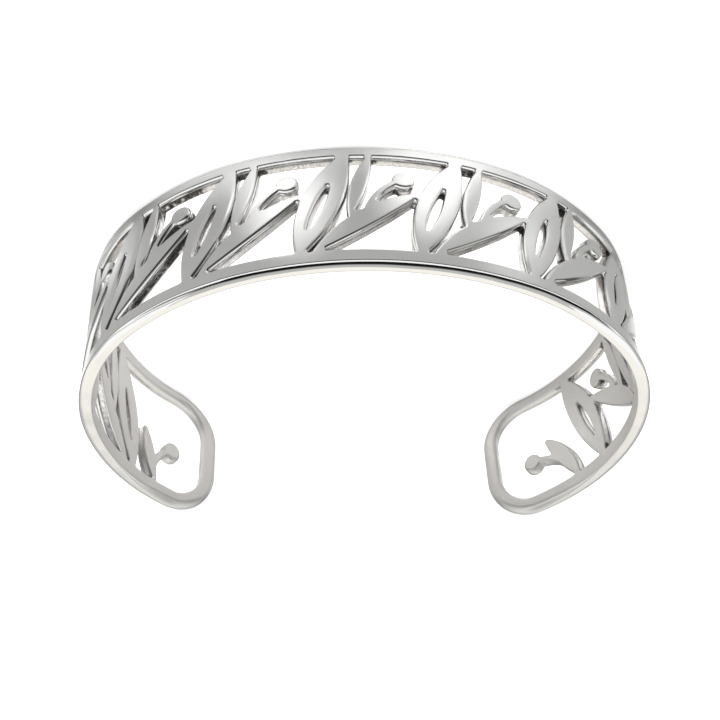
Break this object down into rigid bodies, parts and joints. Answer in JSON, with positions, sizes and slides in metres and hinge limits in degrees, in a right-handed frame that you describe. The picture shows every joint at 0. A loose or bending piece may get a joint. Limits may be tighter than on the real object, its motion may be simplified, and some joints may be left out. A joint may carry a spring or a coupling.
{
  "type": "open cuff bracelet",
  "caption": "Open oval cuff bracelet in one piece of polished metal, with a rail along each rim and leaning leaves and berries cut through the band between them.",
  "frame": {"origin": "middle of the band's width and depth, on the plane of the lower rim that the cuff lies on", "axes": "+Z along the axis of the wrist, -Y towards the middle of the front, +Y towards the gap between the ends, +X across the width"},
  "size_m": [0.062, 0.0444, 0.0172],
  "materials": {
    "metal": "mirror polish outside and on the rims, satin inside"
  },
  "bodies": {
    "root": {"cuff": "metal"}
  },
  "joints": []
}
